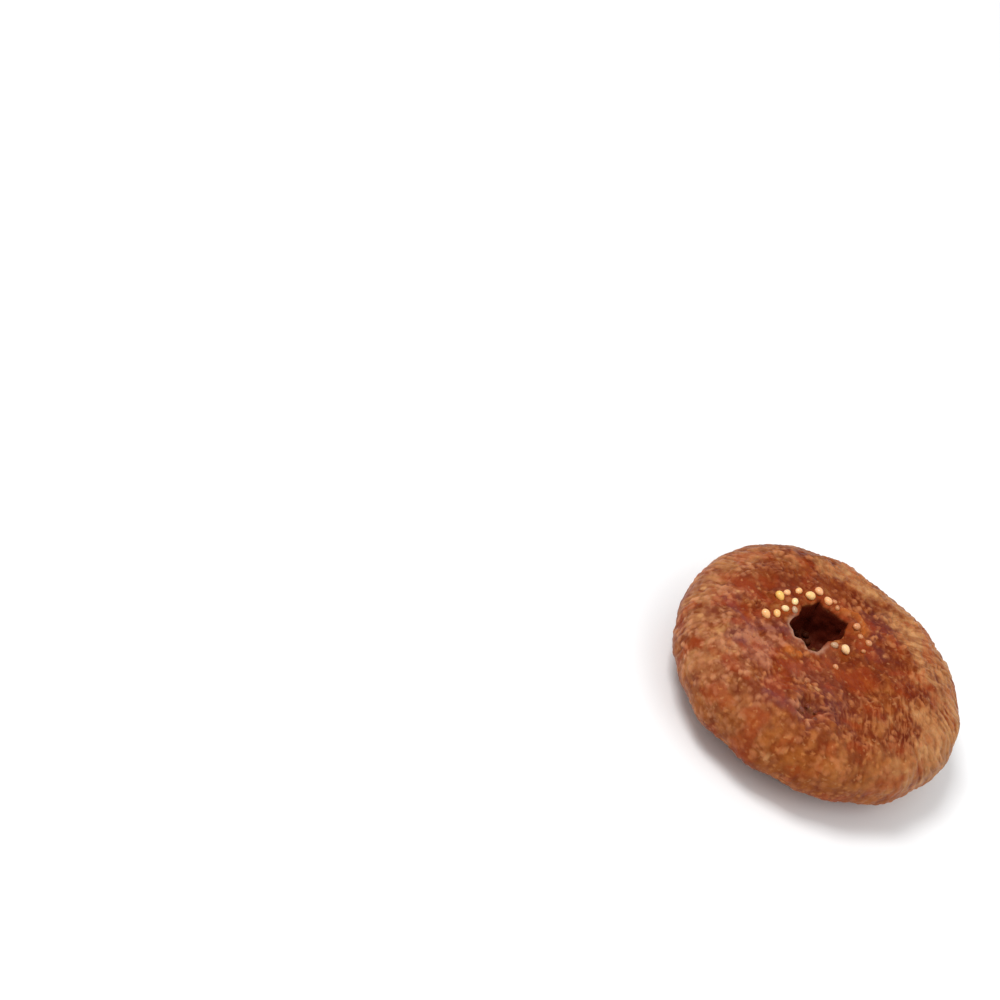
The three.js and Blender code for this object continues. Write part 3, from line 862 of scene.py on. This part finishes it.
def speck_group():
    """Scattered ragged specks from 0 to 1, of a size in millimetres and on a share of the places."""
    group, given, out = new_group("Specks", {"Size": 0.8, "Share": 0.3}, "Mask")
    scale = maths(group, "DIVIDE", PER_METRE, given["Size"])
    cloud = add_node(group, "TexNoise", Vector=place(group), Scale=1600.0, Detail=2.0)
    bend = add_node(group, "VectorMath", {"operation": "SCALE"}, i0=cloud.outputs["Color"], Scale=0.0012)
    cell = add_node(group, "TexVoronoi", Vector=moved_by(group, bend.outputs[0]), Scale=scale)
    round_speck = add_node(group, "MapRange", {"interpolation_type": "SMOOTHSTEP"},
                           Value=cell.outputs["Distance"], From_Min=0.48, From_Max=0.05)
    draw = add_node(group, "SeparateColor", Color=cell.outputs["Color"]).outputs["Red"]
    here = maths(group, "LESS_THAN", draw, given["Share"])
    group.links.new(times(group, round_speck.outputs["Result"], here), out["Mask"])
    return group


def streak_group():
    """Streaks from 0 to 1 along the ridges of the ridged side, of a width in millimetres."""
    group, given, out = new_group("Streaks", {"Width": 0.5}, "Mask")
    along = add_node(group, "Mapping", {"vector_type": "TEXTURE"}, Vector=place(group),
                     Rotation=(0, 0, math.radians(RIDGES_RUN)), Scale=STREAK_STRETCH)
    cloud_mask(group, out, 0.35, 0.65, Vector=along.outputs["Vector"], Detail=1.0, Distortion=0.4,
               Scale=maths(group, "DIVIDE", PER_METRE, given["Width"]))
    return group


def rib_group():
    """Ribs from 0 to 1, by how often they change round the fig and on the way out from the hole."""
    group, given, out = new_group("Ribs", {"Around": 38.0, "Outward": 0.2}, "Mask")
    flow = add_node(group, "Attribute", {"attribute_name": "flow"}).outputs["Vector"]
    x, y, z = add_node(group, "SeparateXYZ", Vector=flow).outputs
    x, y = times(group, x, given["Around"]), times(group, y, given["Around"])
    z = times(group, z, given["Outward"])
    stretched = add_node(group, "CombineXYZ", X=x, Y=y, Z=z).outputs["Vector"]
    cloud_mask(group, out, 0.35, 0.65, Vector=stretched, Scale=1.0, Detail=1.5, Distortion=0.6)
    return group


def skin_grain_group():
    """The height of the finest nubs and pores, for bump, of a size in millimetres."""
    group, given, out = new_group("SkinGrain", {"Size": 0.5}, "Height")
    at, scale = place(group), maths(group, "DIVIDE", PER_METRE, given["Size"])
    cloud = add_node(group, "TexNoise", Vector=at, Scale=scale, Detail=5.0, Roughness=0.6)
    pores = add_node(group, "TexVoronoi", {"feature": "SMOOTH_F1"}, Vector=at, Scale=scale)
    pores = times(group, pores.outputs["Distance"], 0.9)
    group.links.new(maths(group, "SUBTRACT", cloud.outputs["Fac"], pores), out["Height"])
    return group


GROUPS = {
    group.name: group
    for group in (mottle_group(), speck_group(), streak_group(), rib_group(), skin_grain_group())
}


def effect(tree, name, **inputs):
    return add_node(tree, "Group", {"node_tree": GROUPS[name]}, **inputs).outputs[0]


def new_material(name):
    material = bpy.data.materials.new(name)
    material.use_nodes = True
    tree = material.node_tree
    return material, tree, tree.nodes["Principled BSDF"]


def bumped(tree, height, distance):
    return add_node(tree, "Bump", Height=height, Distance=distance * MM).outputs["Normal"]


def attribute(tree, name):
    return add_node(tree, "Attribute", {"attribute_name": name}).outputs["Fac"]


def spread(tree, value, low, high, to_low=0.0, to_high=1.0):
    """Maps low..high on to to_low..to_high, smoothly and without passing either."""
    return add_node(tree, "MapRange", {"interpolation_type": "SMOOTHSTEP"}, Value=value,
                    From_Min=low, From_Max=high, To_Min=to_low, To_Max=to_high).outputs["Result"]


def let_light_in(shader, weight, radius, scale):
    plug(shader, Subsurface_Weight=weight, Subsurface_Radius=radius, Subsurface_Scale=scale * MM)


# dark red laid in the hollows of the relief as painted shade
HOLLOW_SHADE_RED = (0.055, 0.004, 0.001)
RED = (0.110, 0.010, 0.002)
RED_BROWN = (0.145, 0.020, 0.004)
ORANGE_BROWN = (0.215, 0.043, 0.006)
GOLD_BROWN = (0.32, 0.086, 0.013)
# brown painted between the rim's ribs as shade
RIB_SHADE_BROWN = (0.21, 0.058, 0.014)
TAN = (0.33, 0.134, 0.046)
PALE_TAN = (0.57, 0.28, 0.115)
PINK_TAN = (0.48, 0.17, 0.062)
PINK = (0.47, 0.18, 0.095)
EYE_RIDGE = (0.50, 0.21, 0.12)
MAUVE_BROWN = (0.245, 0.07, 0.042)
PURPLE = (0.115, 0.022, 0.020)
VEIN = (0.155, 0.035, 0.035)
# pale beads, partly painted highlights on the nubs
PALE_BEAD_AND_GLINT = (0.52, 0.24, 0.13)
PAINTED_GLOW_RED = (0.30, 0.036, 0.006)  # painted glow, red clouds where the skin seems lit through
YELLOW_FLECK = (0.46, 0.17, 0.030)
ORANGE = (0.50, 0.13, 0.022)
SEEDBED = (0.26, 0.040, 0.006)
LIP_GREY = (0.40, 0.22, 0.15)
PULP_DARK_AND_HOLE_SHADE = (0.08, 0.009, 0.004)
SEED_FLECK = (0.62, 0.28, 0.08)
SEED_FOOT_SHADE = (0.34, 0.08, 0.012)
STALK_FURROW_SHADE = (0.07, 0.03, 0.015)
STALK_END = (0.40, 0.27, 0.15)
SEED_SHADES = (
    (0.0, (0.42, 0.28, 0.18)), (0.15, (0.42, 0.15, 0.05)), (0.3, (0.60, 0.25, 0.11)),
    (0.5, (0.85, 0.44, 0.20)), (0.7, (0.85, 0.50, 0.12)), (0.85, (0.88, 0.60, 0.34)),
    (1.0, (0.92, 0.72, 0.32)),
)
STALK_SHADES = ((0.0, (0.16, 0.07, 0.03)), (0.6, (0.34, 0.18, 0.08)), (1.0, (0.48, 0.30, 0.15)))
PULP_SHADES = ((0.0, (0.05, 0.008, 0.003)), (0.8, (0.10, 0.02, 0.006)), (1.0, (0.22, 0.08, 0.02)))
FLOOR_SHADES = ((0.3, (0.86, 0.87, 0.88)), (0.7, (0.89, 0.895, 0.90)))


def mottled(tree, fine):
    """Red and brown mottling, warmer on the near side and tan on the rim."""
    broad = effect(tree, "Mottle", Size=3.8, Roughness=0.5)
    tint = maths(tree, "ADD", times(tree, fine, 0.42), times(tree, broad, 0.58))
    colour = ramp(tree, tint, (0.2, RED), (0.5, RED_BROWN), (0.72, ORANGE_BROWN), (0.9, TAN))
    warm = ramp(tree, tint, (0.1, RED_BROWN), (0.45, ORANGE_BROWN), (0.85, GOLD_BROWN))
    tan = ramp(tree, tint, (0.15, ORANGE_BROWN), (0.45, TAN), (0.85, PALE_TAN))
    colour = blend(tree, attribute(tree, "warm"), colour, warm)
    return blend(tree, attribute(tree, "tan"), colour, tan)


def lay_rim_highlights_and_shade(tree, coat, folds, tan_here):
    """Painted highlights on the tan rim, pale fold crests and pale ribs, and painted shade, brown,
    between the ribs.
    """
    coat.lay(spread(tree, folds, -0.05, 0.16), times(tree, tan_here, 0.8), PALE_TAN)
    # pale and brown rib stripes: painted highlight and painted shade of the ribs
    ribs = effect(tree, "Ribs", Around=27.0, Outward=0.3)
    rim_here = times(tree, tan_here, times(tree, attribute(tree, "ribbed"), 0.6))
    coat.lay(spread(tree, ribs, 0.45, 0.95), rim_here, PALE_TAN)
    coat.lay(spread(tree, ribs, 0.4, 0.0), rim_here, RIB_SHADE_BROWN)


def lay_blotches(tree, coat, fine, tan_here):
    """Red-brown blotches, and the patches that lie in places of their own."""
    blotched = times(tree, attribute(tree, "mauve"), 0.6)
    blotched = maths(tree, "MAXIMUM", attribute(tree, "shoulder"), blotched)
    blotched = maths(tree, "MAXIMUM", blotched, times(tree, tan_here, 0.35))
    blotch = spread(tree, effect(tree, "Mottle", Size=2.6, Shift=(0.7, 0.2, 0.5)), 0.55, 0.15)
    coat.lay(times(tree, blotch, blotched), 0.9, RED_BROWN)
    coat.lay_marks(("mauve", 0.6, MAUVE_BROWN), ("red", 0.55, RED_BROWN), ("purple", 0.6, PURPLE))
    coat.lay_marks(("pink", spread(tree, fine, 0.3, 0.62, 0.15, 0.75), PINK), ("calm", 0.4, RED_BROWN))


def lay_relief_shade_and_highlights(tree, coat):
    """Painted shade in the hollows and painted highlights on the tips and nub tops, the eye's ridges,
    and the veins.
    """
    relief = attribute(tree, "relief")
    tips = blend(tree, attribute(tree, "mauve"), PINK_TAN, PINK)
    # painted shade where the relief is low, painted highlights where it is high and on the pale nub tops
    coat.lay(spread(tree, relief, 0.02, -0.4), 0.52, HOLLOW_SHADE_RED)
    coat.lay(spread(tree, relief, 0.1, 0.45), 0.5, tips)
    coat.lay_marks(("pale", 0.7, tips), ("eye", 0.5, EYE_RIDGE), ("veins", 0.65, VEIN))


def lay_streaks(tree, coat):
    streaked = attribute(tree, "streaked")
    streaks = effect(tree, "Streaks", Width=0.55)
    for end, amount, colour in ((1.0, 0.38, PINK_TAN), (0.0, 0.45, RED)):
        coat.lay(times(tree, spread(tree, streaks, 0.5, end), streaked), amount, colour)


def lay_beads_and_glints(tree, coat, warm_here):
    """Pale beads on the shoulder and pink beads on the warm side, partly painted highlights on the nubs,
    and yellow flecks on the warm side.
    """
    beads = maths(tree, "MAXIMUM", effect(tree, "Specks", Size=1.5, Share=0.6), attribute(tree, "pale"))
    beads = times(tree, beads, spread(tree, attribute(tree, "shoulder"), 0.1, 0.8))
    coat.lay(beads, 0.5, PALE_BEAD_AND_GLINT)
    flecks = effect(tree, "Specks", Size=1.3, Share=0.3)
    coat.lay(times(tree, flecks, warm_here), 0.5, YELLOW_FLECK)
    warm_beads = effect(tree, "Specks", Size=1.9, Share=0.45)
    coat.lay(times(tree, warm_beads, spread(tree, warm_here, 0.2, 0.9)), 0.55, PINK_TAN)


def lay_glow_and_furrow_shade(tree, coat, folds, warm_here):
    """Painted glow, clouds painted red or, on the warm side, golden as if lit through the skin, and
    painted shade, red in the furrows between the folds.
    """
    clouds = effect(tree, "Mottle", Size=4.0, Roughness=0.4, Shift=(0.1, 0.9, 0.4))
    coat.lay(spread(tree, clouds, 0.5, 0.9), 0.42, PAINTED_GLOW_RED)
    coat.lay(times(tree, spread(tree, clouds, 0.5, 0.15), warm_here), 0.42, GOLD_BROWN)
    # painted shade in the furrows between the folds
    coat.lay(spread(tree, folds, -0.1, -0.3), 0.6, RED)


def skin_material():
    material, tree, shader = new_material("fig_skin")
    fine = effect(tree, "Mottle", Size=1.6, Roughness=0.45, Shift=(0.3, 0.1, 0.2))
    folds, tan_here, warm_here = (attribute(tree, name) for name in ("folds", "tan", "warm"))
    coat = Coat(tree, mottled(tree, fine))
    lay_rim_highlights_and_shade(tree, coat, folds, tan_here)
    lay_blotches(tree, coat, fine, tan_here)
    lay_relief_shade_and_highlights(tree, coat)
    lay_streaks(tree, coat)
    lay_beads_and_glints(tree, coat, warm_here)
    lay_glow_and_furrow_shade(tree, coat, folds, warm_here)
    coat.lay_marks(("orange", 0.6, ORANGE))
    # painted glints: pink-tan and pale tan specks standing in for small highlights
    coat.lay_specks(1.3, 0.3, 0.45, PINK_TAN)
    coat.lay_specks(0.8, 0.15, 0.35, PALE_TAN)
    # dots: mostly painted glints; the seedbed and the lip are the skin's own colour
    coat.lay_marks(("dots", 0.6, PALE_TAN), ("seedbed", 0.6, SEEDBED), ("lip", 0.65, LIP_GREY))
    # the hole: the pulp's own dark red, made darker from the lip down as painted shade of the hole
    colour = blend(tree, attribute(tree, "pulp"), coat.colour, PULP_DARK_AND_HOLE_SHADE)
    plug(shader, Base_Color=colour, Roughness=spread(tree, fine, 0.0, 1.0, 0.34, 0.55),
         Normal=bumped(tree, effect(tree, "SkinGrain", Size=0.6), 0.08),
         Specular_IOR_Level=0.1, Specular_Tint=(1.0, 0.65, 0.35, 1))
    let_light_in(shader, 0.12, (1.0, 0.3, 0.1), 0.7)
    return material


def seed_material():
    material, tree, shader = new_material("fig_seed")
    flecks = effect(tree, "Mottle", Size=0.5)
    coat = Coat(tree, ramp(tree, attribute(tree, "tint"), *SEED_SHADES))
    coat.lay(flecks, 0.3, SEED_FLECK)
    # painted shade at the seed's foot
    coat.lay_marks(("foot_shade", 0.75, SEED_FOOT_SHADE))
    plug(shader, Base_Color=coat.colour, Roughness=spread(tree, flecks, 0.0, 1.0, 0.2, 0.4))
    let_light_in(shader, 0.3, (1.0, 0.6, 0.25), 0.6)
    return material


def dry_material():
    """The papery scales of the eye."""
    material, tree, shader = new_material("dry_scale")
    colour = blend(tree, effect(tree, "Mottle", Size=0.9), RED, ORANGE_BROWN)
    colour = blend(tree, spread(tree, attribute(tree, "relief"), -0.05, 0.15), colour, PINK_TAN)
    grained = bumped(tree, effect(tree, "SkinGrain", Size=0.3), 0.08)
    plug(shader, Base_Color=colour, Roughness=0.5, Normal=grained)
    return material


def stalk_material():
    material, tree, shader = new_material("dry_stalk")
    colour = ramp(tree, effect(tree, "Mottle", Size=1.2), *STALK_SHADES)
    # painted shade, darker in the stalk's furrows
    colour = blend(tree, spread(tree, attribute(tree, "relief"), 0.05, -0.15), colour, STALK_FURROW_SHADE)
    coat = Coat(tree, colour)
    coat.lay_marks(("end", 0.7, STALK_END))
    grained = bumped(tree, effect(tree, "SkinGrain", Size=0.35), 0.12)
    plug(shader, Base_Color=coat.colour, Roughness=0.7, Normal=grained)
    return material


def pulp_material():
    material, tree, shader = new_material("fig_pulp")
    colour = ramp(tree, attribute(tree, "tint"), *PULP_SHADES)
    plug(shader, Base_Color=colour, Roughness=0.6, Specular_IOR_Level=0.08)
    let_light_in(shader, 0.2, (1.0, 0.3, 0.1), 0.6)
    return material


# ---- The room: floor, lights and camera ----

def camera_axes():
    elevation, roll = math.radians(CAMERA["elevation"]), math.radians(CAMERA["roll"])
    back = Vector((0, -math.cos(elevation), math.sin(elevation)))
    level_right, level_up = Vector((1, 0, 0)), Vector((0, math.sin(elevation), math.cos(elevation)))
    right = level_right * math.cos(roll) + level_up * math.sin(roll)
    up = level_up * math.cos(roll) - level_right * math.sin(roll)
    return right, up, back


def make_camera():
    right, up, back = camera_axes()
    pixel = CAMERA["frame_width"] / FRAME
    centre = Vector((0, 0, (CAD_BOX[0][2] + CAD_BOX[1][2]) / 2))
    aim = centre - right * (SEEN_AT[0] - FRAME / 2) * pixel + up * (SEEN_AT[1] - FRAME / 2) * pixel
    clear_selection()
    bpy.ops.object.camera_add(location=aim + back * CAMERA["distance"])
    camera = bpy.context.object
    camera.name = "ViewCamera"
    camera.rotation_mode = "QUATERNION"
    camera.rotation_quaternion = Matrix((right, up, back)).transposed().to_quaternion()
    camera.data.lens = camera.data.sensor_width * CAMERA["distance"] / CAMERA["frame_width"]
    camera.data.clip_start, camera.data.clip_end = 0.01, 10
    bpy.context.scene.camera = camera


def floor_material():
    material, tree, shader = new_material("pale_floor")
    cloud = add_node(tree, "TexNoise", Vector=place(tree), Scale=3.0, Detail=2.0)
    plug(shader, Base_Color=ramp(tree, cloud.outputs["Fac"], *FLOOR_SHADES), Roughness=0.45)
    return material


def make_floor():
    clear_selection()
    bpy.ops.mesh.primitive_plane_add(size=6)
    floor = start_piece("PaleFloor")
    floor.data.materials.append(floor_material())


def add_light(name, towards, distance, size, power):
    right, up, back = camera_axes()
    way = (right * towards[0] + up * towards[1] + back * towards[2]).normalized()
    clear_selection()
    bpy.ops.object.light_add(type="AREA", location=way * distance)
    lamp = bpy.context.object
    lamp.name = name
    lamp.rotation_mode = "QUATERNION"
    lamp.rotation_quaternion = way.to_track_quat("Z", "Y")
    lamp.data.size = size
    lamp.data.energy = power


def make_lights():
    for name, light in LIGHTS.items():
        add_light(name, *light)
    world = bpy.data.worlds.new("StudioWorld")
    bpy.context.scene.world = world
    world.use_nodes = True
    plug(world.node_tree.nodes["Background"], Color=(1, 1, 1, 1), Strength=ROOM_LIGHT)
    bpy.context.scene.view_settings.view_transform = "Standard"


# ---- Putting it together ----

def add_to_root(piece, material):
    piece.data.materials.append(material)
    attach(piece, "root")


make_camera()
make_lights()
make_floor()

skin = make_skin()
add_to_root(skin, skin_material())
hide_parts("dried_fig")
add_to_root(make_seeds(skin), seed_material())
add_to_root(make_pulp(skin), pulp_material())
add_to_root(make_eye_scales(), dry_material())
add_to_root(make_stalk(), stalk_material())
